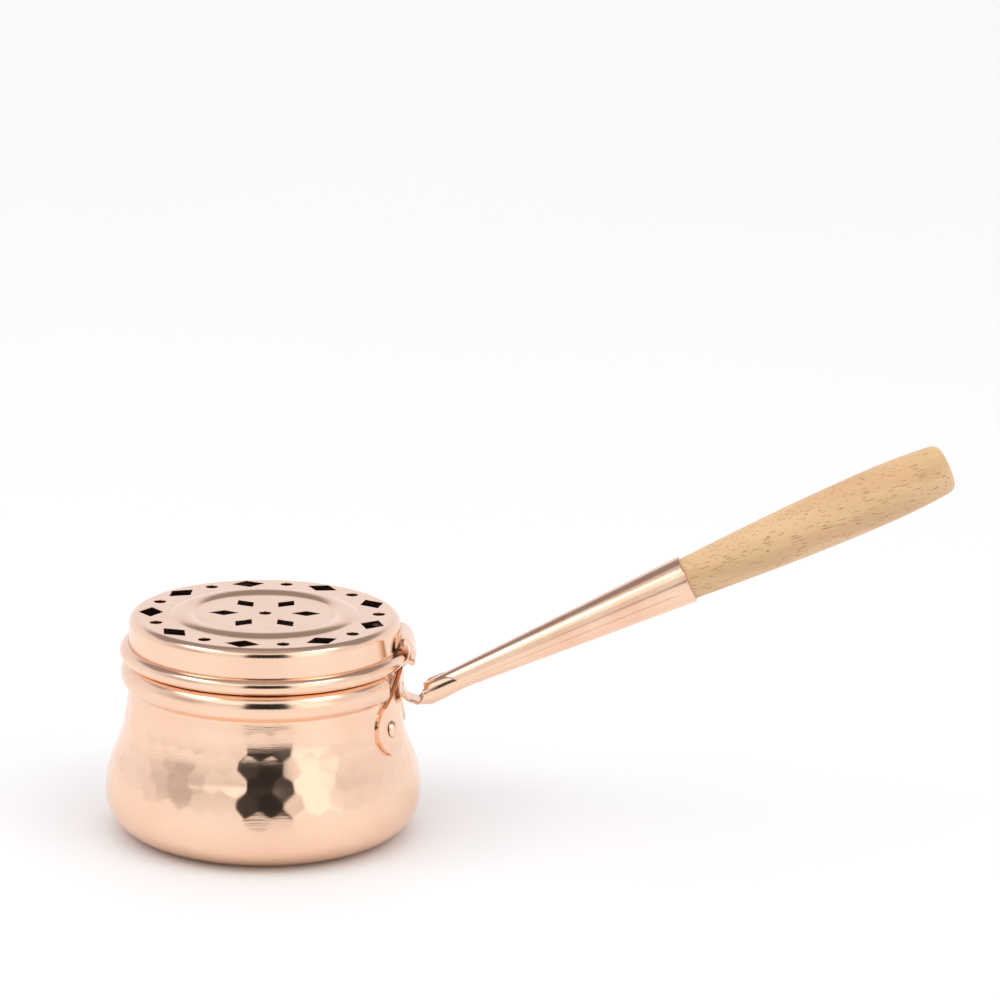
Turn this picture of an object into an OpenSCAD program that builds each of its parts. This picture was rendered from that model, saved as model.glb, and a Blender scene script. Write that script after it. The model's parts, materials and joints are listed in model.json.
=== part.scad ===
// Hand-held copper smoke burner: a hammered pot, a pierced lid on a hinge,
// a riveted neck strap and a turned wooden grip in a conical socket.
// Origin: centre of the pot's resting face. +X runs along the handle, +Z is up.

/* [Pot] */
// Outer diameter at the narrowest line of the neck
neck_d = 85.2; // [72:0.2:110]
// How far the belly stands out past the neck
belly_out = 7.4; // [4:0.2:12]
// Height of the narrowest line of the neck
waist_z = 46.6; // [38:0.2:62]
// Radius of the rounded bottom edge, up to the widest line
heel_r = 13; // [9:0.5:16]
// Share of the side's curve that belongs to the shoulder
shoulder_share = 0.41; // [0.25:0.01:0.6]
// Thickness of the copper sheet
sheet_t = 1; // [0.8:0.05:1.4]
// Radius of the rolled edge of the pot
lip_r = 4.9; // [3.8:0.1:6]
// How far the rolled edge stands out past the neck
lip_out = 2.6; // [2.1:0.1:3.2]
// Half angle of the gap that the strap leaves in the rolled edge
notch_a = 26; // [24:1:32]

/* [Lid] */
// Height of the lid from its bead to its top face
lid_h = 14; // [12:0.2:20]
// Radius of the rounded top edge
lid_corner_r = 2.8; // [2:0.1:4]
// Radius of the wired bead
bead_r = 2.45; // [2.1:0.05:3]
// How far the bead stands out past the lid wall
bead_out = 2.9; // [2.5:0.1:3.6]
// Gap between the bead and the pot's edge
seat_gap = 0.3; // [0.2:0.05:0.6]
// Depth of the collar below the bead
collar_h = 5; // [3:0.5:8]
// Thickness of the collar
collar_t = 0.8; // [0.6:0.1:1.2]
// Clearance of the collar inside the pot's mouth
collar_gap = 0.6; // [0.4:0.05:1]

/* [Piercing] */
// Distance from the lid wall to the outer ring of holes
ring_in = 6.9; // [6:0.1:9]
// Number of lozenges in the outer ring
ring_count = 9; // [6:1:12]
// Radial diagonal of an outer lozenge
outer_rad = 7.8; // [5:0.1:9]
// Tangential diagonal of an outer lozenge
outer_tan = 11; // [7:0.1:12]
// Diameter of the round holes
dot_d = 3.9; // [2:0.1:5]
// Number of petals round the centre
petal_count = 6; // [4:1:8]
// Distance of the petals from the centre
petal_ring_r = 12.9; // [11:0.1:15]
// Long diagonal of a petal
petal_rad = 9.5; // [6:0.1:10]
// Short diagonal of a petal
petal_tan = 6; // [3:0.1:7]
// Distance between the outer ring of holes and the raised ring
ridge_in = 10; // [9:0.1:11]
// Half the width of the raised ring
ridge_half = 3.9; // [3:0.1:4.5]
// Height of the raised ring
ridge_h = 1; // [0.6:0.1:1.4]
// Turn of the pattern away from the handle
pattern_turn = 3; // [-10:0.5:10]

/* [Hinge] */
// Diameter of the hinge pin
pin_d = 1; // [0.8:0.05:1.2]
// Outer radius of a knuckle
knuckle_r = 1.1; // [1:0.05:1.4]
// Running clearance round the pin
pin_gap = 0.05; // [0.03:0.01:0.1]
// Clearance between moving pieces
move_gap = 0.3; // [0.3:0.05:0.6]
// How far the pin lies below the middle of the bead
pin_drop = 1.55; // [1:0.05:2]
// Width of the lid's tongue
tongue_w = 13; // [10:0.5:16]
// Width of the strap's lug between the knuckles
lug_w = 4.4; // [3:0.1:6]
// Thickness of the tongue
tongue_t = 1.1; // [0.8:0.05:1.3]

/* [Strap] */
// Thickness of the strap
strap_t = 1.2; // [1:0.1:1.5]
// Gap between the strap and the pot
strap_gap = 0.15; // [0.1:0.05:0.3]
// Radius of an ear
ear_r = 8; // [6.5:0.25:8.5]
// Height of the rivets below the waist of the neck
ear_drop = 8.6; // [8.6:0.2:11]
// Angle from the handle to each rivet
ear_a = 23; // [21:0.5:26]
// Width of the bent neck strip
strip_w = 8; // [6:0.25:9]
// Inner radius of the bend
bend_r = 3.2; // [2.5:0.1:5]
// Length of the flat stretch at the bottom of the bend
flat_len = 4.9; // [3:0.1:8]
// Depth of the bend's underside below the waist
trough_drop = 5.5; // [5:0.1:9]
// Diameter of a rivet's shank
rivet_d = 3; // [2:0.1:4]
// Diameter of a rivet's head
rivet_head_d = 5.6; // [4.5:0.1:7]
// Height of a rivet's head
rivet_head_h = 1.7; // [1:0.1:2.2]

/* [Handle] */
// Angle of the handle above level
tilt = 25.7; // [15:0.1:35]
// Length of the conical socket
socket_l = 89.2; // [70:0.2:120]
// Outer radius at the socket's small end
socket_r0 = 3; // [2.6:0.1:4]
// Outer radius at the socket's mouth
socket_r1 = 7.65; // [6.5:0.05:9]
// Wall of the socket
socket_t = 0.9; // [0.7:0.05:1.2]
// Length of the scoop that holds the socket
scoop_l = 12; // [8:0.5:16]
// Visible length of the grip
grip_l = 88.5; // [70:0.5:120]
// Radius of the grip where it is thickest
grip_r = 9; // [8:0.1:12]
// Radius of the grip at its end
grip_end_r = 7.5; // [6:0.1:8]
// Rounding of the grip's end
grip_round = 2.5; // [1.5:0.1:4]
// Length of the grip's tenon inside the socket
tenon_l = 30; // [20:1:50]
// Fit of the tenon and of the brazed joint
fit_gap = 0.05; // [0.03:0.01:0.1]
// Diameter of the nail that holds the grip
nail_d = 1.6; // [1.2:0.1:2]

/* [Grate] */
// Radius of the ember grate
grate_r = 37; // [28:0.5:38]
// Thickness of the ember grate
grate_t = 1.2; // [1:0.1:2]
// Height of the air space under the grate
grate_lift = 8; // [5:0.5:12]
// Diameter of the air holes
air_d = 4; // [3:0.5:6]

/* [Hidden] */
$fn = 96;

copper = "#c98a6a";
tinned = "#b9a79c";
iron = "#5a5654";
beech = "#d9a066";
big = 400;
bite = 1;

neck_r = neck_d / 2;
belly_r = neck_r + belly_out;

// The side is two arcs that meet on one slope: the shoulder bulges, the neck is hollow.
side_h = waist_z - heel_r;
side_turn = 2 * atan(belly_out / side_h);
side_sum_r = side_h / sin(side_turn);
shoulder_r = side_sum_r * shoulder_share;
hollow_r = side_sum_r - shoulder_r;

lip_x = neck_r + lip_out - lip_r;
lip_half = sqrt(pow(lip_r, 2) - pow(neck_r - lip_x, 2));
lip_z = waist_z + lip_half + 0.4;
mouth_z = lip_z + lip_half;
rim_wire_r = (lip_out - sheet_t) / 2 - fit_gap;
rim_wire_x = neck_r + rim_wire_r + 3 * fit_gap;

lid_r = neck_r;
bead_x = lid_r + bead_out - bead_r;
bead_z = mouth_z + seat_gap + bead_r;
lid_z0 = bead_z - bead_r;
lid_z1 = lid_z0 + lid_h;
lid_wire_r = (bead_out - sheet_t) / 2;
ridge_ring_r = lid_r - ring_in - ridge_in;
ridge_arc_r = (pow(ridge_half, 2) + pow(ridge_h, 2)) / (2 * ridge_h);

pin_r = pin_d / 2;
pin_z = bead_z - pin_drop;
pin_x = bead_x + sqrt(pow(bead_r + knuckle_r + move_gap, 2) - pow(pin_drop, 2));
knuckle_y = lug_w / 2 + move_gap;
tongue_x = pin_x + 0.8;
tongue_top = lid_z1 - lid_corner_r - 1;
tongue_arc_z = pin_z + 2.1;
tongue_arc_r = (pow(tongue_x - lid_r - 0.8, 2) + pow(tongue_top - tongue_arc_z, 2))
               / (2 * (tongue_x - lid_r - 0.8));
foot_a = asin(tongue_w / 2 / lid_r);
foot_z = bead_z + bead_r + 0.4;
foot_rivet_z = foot_z + 1.3;
foot_rivet_a = foot_a * 0.6;
foot_rivet_d = 1.4;
foot_head_d = 2.2;

ear_z = waist_z - ear_drop;
ear_lean = asin((waist_z - ear_z) / hollow_r);
ear_x = neck_r + hollow_r - hollow_r * cos(ear_lean);
web_z = lip_z - 3;
strap_top = mouth_z - 0.8;
strap_x = neck_r + strap_gap;
bend_x = strap_x + strap_t + bend_r;
trough_z = waist_z - trough_drop;
bend_z = trough_z + bend_r + strap_t;
kink_x = bend_x + flat_len;
scoop_lead = 2;
scoop_r = socket_r0 + strap_t + fit_gap;
handle_x = kink_x - scoop_r * sin(tilt) + scoop_lead * cos(tilt);
handle_z = trough_z + scoop_r * cos(tilt) + scoop_lead * sin(tilt);
socket_grow = (socket_r1 - socket_r0) / socket_l;
tenon_r1 = socket_r1 - socket_t - fit_gap;
grip_peak = 0.72;
nail_s = socket_l - 9;
nail_l = 6;
burr_r = rivet_d;
burr_t = 0.8;
foot_ring_r = grate_r * 0.78;

function arc(c, r, a0, a1, n) =
    [for (i = [0:n]) c + r * [cos(a0 + (a1 - a0) * i / n), sin(a0 + (a1 - a0) * i / n)]];

function flip(p) = [for (i = [len(p) - 1:-1:0]) p[i]];

// The pot's side at a distance out from its face, from the shoulder up to a height.
function side_line(out, top) = concat(
    arc([belly_r - shoulder_r, heel_r], shoulder_r + out, 0, side_turn, 4),
    arc([neck_r + hollow_r, waist_z], hollow_r - out, 180 + side_turn, 180, 6),
    [[neck_r + out, top]]);

function pot_line(out) = concat(
    arc([belly_r - heel_r, heel_r], heel_r + out, -90, -90 / 7, 6), side_line(out, mouth_z));

// Radius of the grip at a share of its visible length: it swells, then draws in.
function grip_at(u) = u < grip_peak
    ? tenon_r1 + (grip_r - tenon_r1) * sin(90 * u / grip_peak)
    : grip_r - (grip_r - grip_end_r) * pow((u - grip_peak) / (1 - grip_peak), 2);

module along_handle() {
    translate([handle_x, 0, handle_z]) rotate([0, 90 - tilt, 0]) children();
}

// Puts a child at a rivet: its +Z points out of the pot, its origin is on the pot's face.
module at_ear(side) {
    rotate([0, 0, side * ear_a]) translate([ear_x, 0, ear_z]) rotate([0, 90 - ear_lean, 0])
        children();
}

// Draws a side view, in X and Z, as a plate of a given width across the handle.
module side_plate(w) {
    rotate([90, 0, 0]) linear_extrude(height = w, center = true) children();
}

module rivet_holes(gap) {
    for (side = [-1, 1]) at_ear(side) cylinder(d = rivet_d + 2 * gap, h = 12, center = true);
}

module pot_body() color(copper) difference() {
    union() {
        rotate_extrude() polygon(
            concat([[0, 0]], pot_line(0), flip(pot_line(-sheet_t)), [[0, sheet_t]]));
        round_lip() intersection() {
            translate([lip_x, lip_z]) circle(r = lip_r);
            translate([neck_r - sheet_t / 2, 0]) square([big, mouth_z]);
        }
    }
    round_lip() translate([rim_wire_x, lip_z]) circle(r = rim_wire_r, $fn = 32);
    rivet_holes(fit_gap);
}

// Turns a section round the pot, leaving the gap for the strap.
module round_lip() {
    rotate([0, 0, notch_a]) rotate_extrude(angle = 360 - 2 * notch_a) children();
}

module pot_rim_wire() color(iron) round_lip()
    translate([rim_wire_x, lip_z]) circle(r = rim_wire_r - fit_gap, $fn = 32);

module air_holes(r, count) {
    for (i = [0:count - 1]) rotate([0, 0, 360 * i / count]) translate([r, 0, 0])
        cylinder(d = air_d, h = big, center = true, $fn = 32);
}

module foot_places() {
    for (a = [60, 180, 300]) rotate([0, 0, a]) translate([foot_ring_r, 0, sheet_t]) children();
}

module ember_grate() color(tinned) difference() {
    translate([0, 0, sheet_t + grate_lift]) cylinder(r = grate_r, h = grate_t);
    air_holes(grate_r * 0.28, 6);
    air_holes(grate_r * 0.56, 12);
    foot_places() cylinder(d = rivet_d + 2 * fit_gap, h = big, center = true, $fn = 32);
}

module grate_feet() color(tinned) foot_places() {
    cylinder(d = rivet_head_d, h = grate_lift, $fn = 48);
    cylinder(d = rivet_d, h = grate_lift + grate_t + 0.8, $fn = 48);
    translate([0, 0, grate_lift + grate_t]) cylinder(d = rivet_d + 1.4, h = 0.8, $fn = 48);
}

module lozenge(rad, tan) {
    polygon([[rad / 2, 0], [0, tan / 2], [-rad / 2, 0], [0, -tan / 2]]);
}

module pierced_pattern() {
    ring_r = lid_r - ring_in;
    step = 360 / ring_count;
    circle(d = dot_d, $fn = 32);
    for (i = [0:ring_count - 1]) {
        rotate(step * (i + 0.5)) translate([ring_r, 0]) lozenge(outer_rad, outer_tan);
        rotate(step * i) translate([ring_r, 0]) circle(d = dot_d, $fn = 32);
    }
    for (i = [0:petal_count - 1])
        rotate(360 * i / petal_count) translate([petal_ring_r, 0]) lozenge(petal_rad, petal_tan);
}

module lid_section() {
    corner = [lid_r - lid_corner_r, lid_z1 - lid_corner_r];
    in_r = lid_corner_r - sheet_t;
    ridge_c = [ridge_ring_r, lid_z1 + ridge_h - ridge_arc_r];
    difference() {
        union() {
            polygon(concat([[0, lid_z1], [0, lid_z1 - sheet_t]], arc(corner, in_r, 90, 0, 6),
                           [[lid_r - sheet_t, bead_z], [lid_r, bead_z]],
                           arc(corner, lid_corner_r, 0, 90, 6)));
            translate([bead_x, bead_z]) circle(r = bead_r);
            intersection() {
                translate(ridge_c) circle(r = ridge_arc_r);
                translate([0, lid_z1 - sheet_t / 2]) square([big, ridge_h + sheet_t]);
            }
        }
        square([lid_r - sheet_t, bead_z + bead_r]);
        translate([lid_r + lid_wire_r, bead_z]) circle(r = lid_wire_r);
        intersection() {
            translate(ridge_c) circle(r = ridge_arc_r - sheet_t);
            translate([0, lid_z1 - 1.5 * sheet_t]) square([big, ridge_h + sheet_t]);
        }
    }
}

module foot_rivet_places() {
    for (side = [-1, 1]) rotate([0, 0, side * foot_rivet_a])
        translate([lid_r, 0, foot_rivet_z]) rotate([0, 90, 0]) children();
}

module foot_rivet_holes() {
    foot_rivet_places() cylinder(d = foot_rivet_d + 2 * fit_gap, h = 6, center = true, $fn = 32);
}

module lid_cap() color(copper) difference() {
    rotate_extrude() lid_section();
    rotate([0, 0, pattern_turn]) translate([0, 0, lid_z1 - 2 * sheet_t])
        linear_extrude(height = 3 * sheet_t) pierced_pattern();
    foot_rivet_holes();
}

module lid_rim_wire() color(iron) rotate_extrude()
    translate([lid_r + lid_wire_r, bead_z]) circle(r = lid_wire_r - fit_gap, $fn = 32);

module lid_collar() color(tinned) rotate_extrude() {
    out_r = lid_r - sheet_t - collar_gap;
    in_r = out_r - collar_t;
    polygon([[in_r, lid_z0 - collar_h], [out_r, lid_z0 - collar_h], [out_r, lid_z0 + 1],
             [lid_r - sheet_t, lid_z0 + 1 + collar_gap], [lid_r - sheet_t, bead_z + bead_r - 0.4],
             [in_r, bead_z + bead_r - 0.4]]);
}

module tongue_side() {
    arc_c = [tongue_x - tongue_arc_r, tongue_arc_z];
    intersection() {
        translate(arc_c) difference() {
            circle(r = tongue_arc_r);
            circle(r = tongue_arc_r - tongue_t);
        }
        translate([lid_r + tongue_t / 2, tongue_arc_z])
            square([big, tongue_top - tongue_arc_z]);
    }
    translate([tongue_x - tongue_t, pin_z]) square([tongue_t, tongue_arc_z - pin_z]);
    translate([pin_x, pin_z]) circle(r = knuckle_r, $fn = 48);
}

module pin_bore() {
    translate([pin_x, 0, pin_z]) rotate([90, 0, 0])
        cylinder(r = pin_r + pin_gap, h = big, center = true, $fn = 48);
}

module lid_tongue() color(copper) difference() {
    union() {
        side_plate(tongue_w) tongue_side();
        rotate([0, 0, -foot_a]) rotate_extrude(angle = 2 * foot_a)
            translate([lid_r + fit_gap, foot_z]) square([tongue_t, tongue_top - foot_z]);
    }
    pin_bore();
    translate([lid_r + tongue_t, -knuckle_y, pin_z - knuckle_r - move_gap])
        cube([big, 2 * knuckle_y, 2 * (knuckle_r + move_gap)]);
    foot_rivet_holes();
}

module tongue_rivets() color(copper) foot_rivet_places() {
    translate([0, 0, -sheet_t - 0.7])
        cylinder(d = foot_rivet_d, h = sheet_t + tongue_t + 1.2, $fn = 32);
    translate([0, 0, tongue_t + 0.15]) cylinder(d = foot_head_d, h = 0.4, $fn = 32);
    translate([0, 0, -sheet_t - 0.7]) cylinder(d = foot_head_d, h = 0.6, $fn = 32);
}

module hinge_pin() color(iron) translate([pin_x, 0, pin_z]) rotate([90, 0, 0]) {
    cylinder(r = pin_r, h = tongue_w + 0.8, center = true, $fn = 48);
    for (side = [0, 1]) mirror([0, 0, side]) translate([0, 0, tongue_w / 2 + 0.15])
        cylinder(r = pin_r + 0.35, h = 0.5, $fn = 48);
}

// The strap's plate lies on the pot: two ears and a web that narrows up to the lug.
module strap_plate() {
    ear_y = (ear_x + strap_gap) * sin(ear_a);
    top_w = lug_w / 2 + 3;
    intersection() {
        rotate_extrude() polygon(concat(side_line(strap_gap + strap_t, strap_top),
                                        flip(side_line(strap_gap, strap_top))));
        union() {
            for (side = [-1, 1]) at_ear(side) cylinder(r = ear_r, h = 16, center = true);
            rotate([90, 0, 90]) linear_extrude(height = big)
                for (side = [0, 1]) mirror([side, 0]) polygon([
                    [-bite, strap_top], [top_w, strap_top], [ear_y + 0.62 * ear_r, ear_z + 0.76 * ear_r],
                    [ear_y, ear_z], [ear_y - 0.9 * ear_r, ear_z + 0.3 * ear_r],
                    [strip_w / 2 + 2, web_z - 2], [strip_w / 2, web_z], [-bite, web_z]]);
        }
    }
}

module strap_strip() {
    side_plate(strip_w) {
        translate([strap_x, bend_z]) square([strap_t, web_z + bite - bend_z]);
        intersection() {
            translate([bend_x, bend_z]) difference() {
                circle(r = bend_r + strap_t);
                circle(r = bend_r);
            }
            translate([strap_x, trough_z]) square([bend_r + strap_t, bend_r + strap_t]);
        }
        translate([bend_x, trough_z]) square([flat_len, strap_t]);
    }
}

// The scoop is a part of a cone that cradles the socket's small end.
module strap_scoop() {
    grow = socket_grow * scoop_l;
    lead = socket_grow * scoop_lead;
    wrap = socket_r0 + fit_gap;
    along_handle() intersection() {
        translate([0, 0, -scoop_lead]) difference() {
            cylinder(r1 = scoop_r - lead, r2 = scoop_r + grow, h = scoop_lead + scoop_l);
            cylinder(r1 = wrap - lead, r2 = wrap + grow, h = scoop_lead + scoop_l);
        }
        side_plate(big) polygon([[socket_r0 / 2, -scoop_lead], [big, -scoop_lead],
                                 [big, scoop_l], [-socket_r0 / 2, scoop_l]]);
    }
}

module strap_lug() {
    root = [strap_x + strap_t / 2, strap_top - 0.6];
    reach = [pin_x, pin_z] - root;
    side_plate(lug_w) {
        translate([pin_x, pin_z]) circle(r = knuckle_r, $fn = 48);
        translate(root) rotate(atan2(reach[1], reach[0])) translate([0, -0.5])
            square([norm(reach), 1]);
    }
}

module handle_strap() color(copper) difference() {
    union() {
        strap_plate();
        strap_strip();
        strap_scoop();
        strap_lug();
    }
    rivet_holes(fit_gap);
    pin_bore();
}

module strap_rivet(side) color(copper) at_ear(side) {
    seat = strap_gap + strap_t + 0.1;
    dome_r = (pow(rivet_head_d / 2, 2) + pow(rivet_head_h, 2)) / (2 * rivet_head_h);
    tail = -sheet_t - burr_t - 0.2;
    translate([0, 0, tail]) cylinder(d = rivet_d, h = seat - tail + 0.5, $fn = 48);
    translate([0, 0, tail - 0.6]) cylinder(d = rivet_d + 1.2, h = 0.6, $fn = 48);
    intersection() {
        translate([0, 0, seat + rivet_head_h - dome_r]) sphere(r = dome_r);
        translate([0, 0, seat]) cylinder(d = rivet_head_d, h = rivet_head_h + 1);
    }
}

module strap_rivet_front() strap_rivet(-1);
module strap_rivet_rear() strap_rivet(1);

module rivet_burr(side) color(copper) at_ear(side)
    translate([0, 0, -sheet_t - burr_t - 0.15]) difference() {
        cylinder(r = burr_r, h = burr_t, $fn = 48);
        translate([0, 0, -1]) cylinder(d = rivet_d + 2 * fit_gap, h = burr_t + 2, $fn = 48);
    }

module rivet_burr_front() rivet_burr(-1);
module rivet_burr_rear() rivet_burr(1);

// Puts a child at the nail, on the rear of the socket: its +Z points out along the nail.
module at_nail() {
    translate([0, 0, nail_s]) rotate([-90, 0, 0]) children();
}

module nail_hole(depth) {
    at_nail() cylinder(d = nail_d + 2 * fit_gap, h = depth, $fn = 32);
}

module handle_socket() color(copper) along_handle() difference() {
    cylinder(r1 = socket_r0, r2 = socket_r1, h = socket_l);
    translate([0, 0, -0.001]) cylinder(r1 = socket_r0 - socket_t, r2 = socket_r1 - socket_t,
                                       h = socket_l + 0.002);
    nail_hole(socket_r1 + 2);
}

module wooden_grip() color(beech) along_handle() difference() {
    steps = 20;
    round_at = 1 - grip_round / grip_l;
    round_x = grip_at(round_at) - grip_round;
    rotate_extrude() polygon(concat(
        [[0, socket_l - tenon_l], [tenon_r1 - socket_grow * tenon_l, socket_l - tenon_l]],
        [for (i = [0:steps]) [grip_at(round_at * i / steps), socket_l + grip_l * round_at * i / steps]],
        arc([round_x, socket_l + grip_l - grip_round], grip_round, 10, 90, 6),
        [[0, socket_l + grip_l]]));
    nail_hole(socket_r1);
}

module grip_nail() color(iron) along_handle() at_nail() {
    face = socket_r0 + socket_grow * nail_s + 0.4;
    translate([0, 0, face - nail_l]) cylinder(d = nail_d, h = nail_l, $fn = 32);
    translate([0, 0, face - 0.2]) cylinder(d1 = 2 * nail_d, d2 = 1.2 * nail_d, h = 0.6, $fn = 32);
}

pot_body();
pot_rim_wire();
ember_grate();
grate_feet();
lid_cap();
lid_rim_wire();
lid_collar();
lid_tongue();
tongue_rivets();
hinge_pin();
handle_strap();
strap_rivet_front();
strap_rivet_rear();
rivet_burr_front();
rivet_burr_rear();
handle_socket();
wooden_grip();
grip_nail();
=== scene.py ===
"""The looks of a hand-held copper smoke burner: hammered pot, pierced lid on a hinge,
riveted neck strap, conical socket and turned beech grip.

Shapes are worked out in millimetres and become metres when their mesh is made.
"""
import json
import math

import bmesh
import bpy
from mathutils import Matrix, Vector


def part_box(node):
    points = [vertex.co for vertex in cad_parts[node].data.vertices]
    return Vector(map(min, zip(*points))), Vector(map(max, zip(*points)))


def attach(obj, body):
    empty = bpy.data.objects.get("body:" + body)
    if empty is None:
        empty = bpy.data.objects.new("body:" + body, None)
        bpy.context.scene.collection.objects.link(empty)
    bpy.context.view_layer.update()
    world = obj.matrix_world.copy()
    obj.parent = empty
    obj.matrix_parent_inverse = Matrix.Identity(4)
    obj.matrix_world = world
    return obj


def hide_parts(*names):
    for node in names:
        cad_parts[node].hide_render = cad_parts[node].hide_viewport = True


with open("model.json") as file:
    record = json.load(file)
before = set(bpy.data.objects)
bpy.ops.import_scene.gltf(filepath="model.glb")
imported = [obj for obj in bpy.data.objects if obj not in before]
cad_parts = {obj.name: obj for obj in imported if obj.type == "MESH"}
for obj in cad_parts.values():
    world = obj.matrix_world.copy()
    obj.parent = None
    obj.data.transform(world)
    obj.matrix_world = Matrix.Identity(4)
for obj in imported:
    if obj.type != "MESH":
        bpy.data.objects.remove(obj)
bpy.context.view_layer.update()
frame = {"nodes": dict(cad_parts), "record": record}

MM = 0.001
WELD = 0.0005           # points this near, in millimetres, are one


def corners(node):
    """Lowest and highest corner of a CAD node, in millimetres."""
    return [Vector(corner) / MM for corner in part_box(node)]


# ---------------------------------------------------------------- driving sizes, in mm
SHEET = 1.0             # thickness of the copper sheet
BELLY_OUT = 7.4         # the belly past the neck
WAIST_Z = 46.6          # narrowest line of the neck
HEEL_R = 13.0           # rounded bottom edge
SHOULDER_SHARE = 0.41   # the shoulder's share of the side's curve
LIP_R = 4.9             # rolled edge of the pot
LIP_OUT = 2.6           # the rolled edge past the neck
NOTCH_A = 26.2          # half the gap in the rolled edge, in degrees
BEAD_R = 2.45           # wired bead of the lid
BEAD_OUT = 2.9          # the bead past the lid's wall
LID_CORNER_R = 2.8
RIDGE_H = 1.0           # raised ring on the lid
RIDGE_HALF = 3.9
RING_IN = 6.9           # lid wall to the outer ring of holes
RIDGE_IN = 10.0         # outer ring of holes to the raised ring
PATTERN_TURN = 3.0      # turn of the piercing, in degrees
RING_COUNT = 9          # lozenges, and dots, in the outer ring
LOZENGE = (7.8, 11.0)   # an outer lozenge, radially and across
DOT_D = 3.9
PETAL_COUNT = 6
PETAL_RING_R = 12.9
PETAL = (9.5, 6.0)      # a petal, radially and across
TILT = 25.7             # handle above level, in degrees
SOCKET_L = 89.2
SOCKET_R0 = 3.0
SOCKET_R1 = 7.65
SOCKET_T = 0.9
GRIP_L = 88.5
GRIP_R = 9.0
GRIP_END_R = 7.5
GRIP_ROUND = 3.4
GRIP_DOME = 0.5         # the grip's end face is slightly domed
GRIP_PEAK = 0.72        # share of the grip's length where it is thickest
EAR_A = 23.0            # angle from the handle to each rivet
EAR_DROP = 8.6          # each rivet below the waist
RIVET_HEAD_D = 5.6
RIVET_HEAD_H = 1.7
RIVET_SEAT = 1.45        # underside of a rivet's head above the pot's face

# ---------------------------------------------------------------- places from the frame
BELLY_R = corners("pot_body")[1].x
MOUTH_Z = corners("pot_body")[1].z
NECK_R = BELLY_R - BELLY_OUT
LIP_X = NECK_R + LIP_OUT - LIP_R
LIP_HALF = math.sqrt(LIP_R ** 2 - (NECK_R - LIP_X) ** 2)
LIP_Z = MOUTH_Z - LIP_HALF
SIDE_H = WAIST_Z - HEEL_R
SIDE_TURN = 2 * math.atan(BELLY_OUT / SIDE_H)
SIDE_SUM_R = SIDE_H / math.sin(SIDE_TURN)
SHOULDER_R = SIDE_SUM_R * SHOULDER_SHARE
HOLLOW_R = SIDE_SUM_R - SHOULDER_R

LID_Z0 = corners("lid_cap")[0].z
LID_Z1 = corners("lid_cap")[1].z - RIDGE_H
BEAD_Z = LID_Z0 + BEAD_R
BEAD_X = NECK_R + BEAD_OUT - BEAD_R
HOLE_RING_R = NECK_R - RING_IN
RIDGE_RING_R = HOLE_RING_R - RIDGE_IN

TILT_RAD = math.radians(TILT)
HANDLE_X = corners("handle_socket")[0].x + SOCKET_R0 * math.sin(TILT_RAD)
HANDLE_Z = corners("handle_socket")[0].z + SOCKET_R0 * math.cos(TILT_RAD)
ALONG_HANDLE = (Matrix.Translation((HANDLE_X, 0, HANDLE_Z))
                @ Matrix.Rotation(math.pi / 2 - TILT_RAD, 4, "Y"))


# ---------------------------------------------------------------- nodes
class Socket:
    """A node's output that does arithmetic: each operator adds a Math node."""

    def __init__(self, tree, source):
        self.tree, self.source = tree, source

    def other(self, name):
        """Another output of the same node."""
        return Socket(self.tree, self.source.node.outputs[name])

    def math(self, operation, *operands):
        """A Math node with these operands, or with this socket alone."""
        return add(self.tree, "ShaderNodeMath", {"operation": operation},
                   dict(enumerate(operands or (self,))))

    def __add__(self, other): return self.math("ADD", self, other)
    def __radd__(self, other): return self.math("ADD", other, self)
    def __sub__(self, other): return self.math("SUBTRACT", self, other)
    def __rsub__(self, other): return self.math("SUBTRACT", other, self)
    def __mul__(self, other): return self.math("MULTIPLY", self, other)
    def __rmul__(self, other): return self.math("MULTIPLY", other, self)
    def __truediv__(self, other): return self.math("DIVIDE", self, other)
    def __mod__(self, other): return self.math("MODULO", self, other)
    def __pow__(self, other): return self.math("POWER", self, other)

    def step(self, low, high):
        """0 below low, 1 above high, and a smooth rise between them."""
        return add(self.tree, "ShaderNodeMapRange", {"interpolation_type": "SMOOTHSTEP"},
                   {"Value": self, "From Min": low, "From Max": high})


def add(tree, kind, settings=None, inputs=None, out=0):
    """Adds a node: its settings first, then its sockets' values or links."""
    node = tree.nodes.new(kind)
    for key, value in (settings or {}).items():
        setattr(node, key, value)
    for key, value in (inputs or {}).items():
        if isinstance(value, Socket):
            tree.links.new(value.source, node.inputs[key])
        else:
            node.inputs[key].default_value = value
    return Socket(tree, node.outputs[out])


def mix(factor, a, b):
    """A colour between a and b."""
    a, b = [(*c, 1) if isinstance(c, tuple) else c for c in (a, b)]
    return add(factor.tree, "ShaderNodeMix", {"data_type": "RGBA"}, {0: factor, 6: a, 7: b}, 2)


def node_shape(name, inputs):
    """A new Geometry Nodes tree with named inputs, and a socket for each of them."""
    tree = bpy.data.node_groups.new(name, "GeometryNodeTree")
    tree.interface.new_socket("Geometry", in_out="INPUT", socket_type="NodeSocketGeometry")
    tree.interface.new_socket("Geometry", in_out="OUTPUT", socket_type="NodeSocketGeometry")
    for label, kind in inputs.items():
        tree.interface.new_socket(label, in_out="INPUT", socket_type="NodeSocket" + kind)
    entry = tree.nodes.new("NodeGroupInput")
    return tree, {s.name: Socket(tree, s) for s in entry.outputs if s.name}


def end_shape(tree, geometry, finish, chosen=True):
    """Realizes the shape, gives its chosen faces their material and sends it out."""
    real = add(tree, "GeometryNodeRealizeInstances", None, {"Geometry": geometry})
    done = add(tree, "GeometryNodeSetMaterial", None,
               {"Geometry": real, "Selection": chosen, "Material": finish})
    leave = tree.nodes.new("NodeGroupOutput")
    tree.links.new(done.source, leave.inputs["Geometry"])


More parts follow.
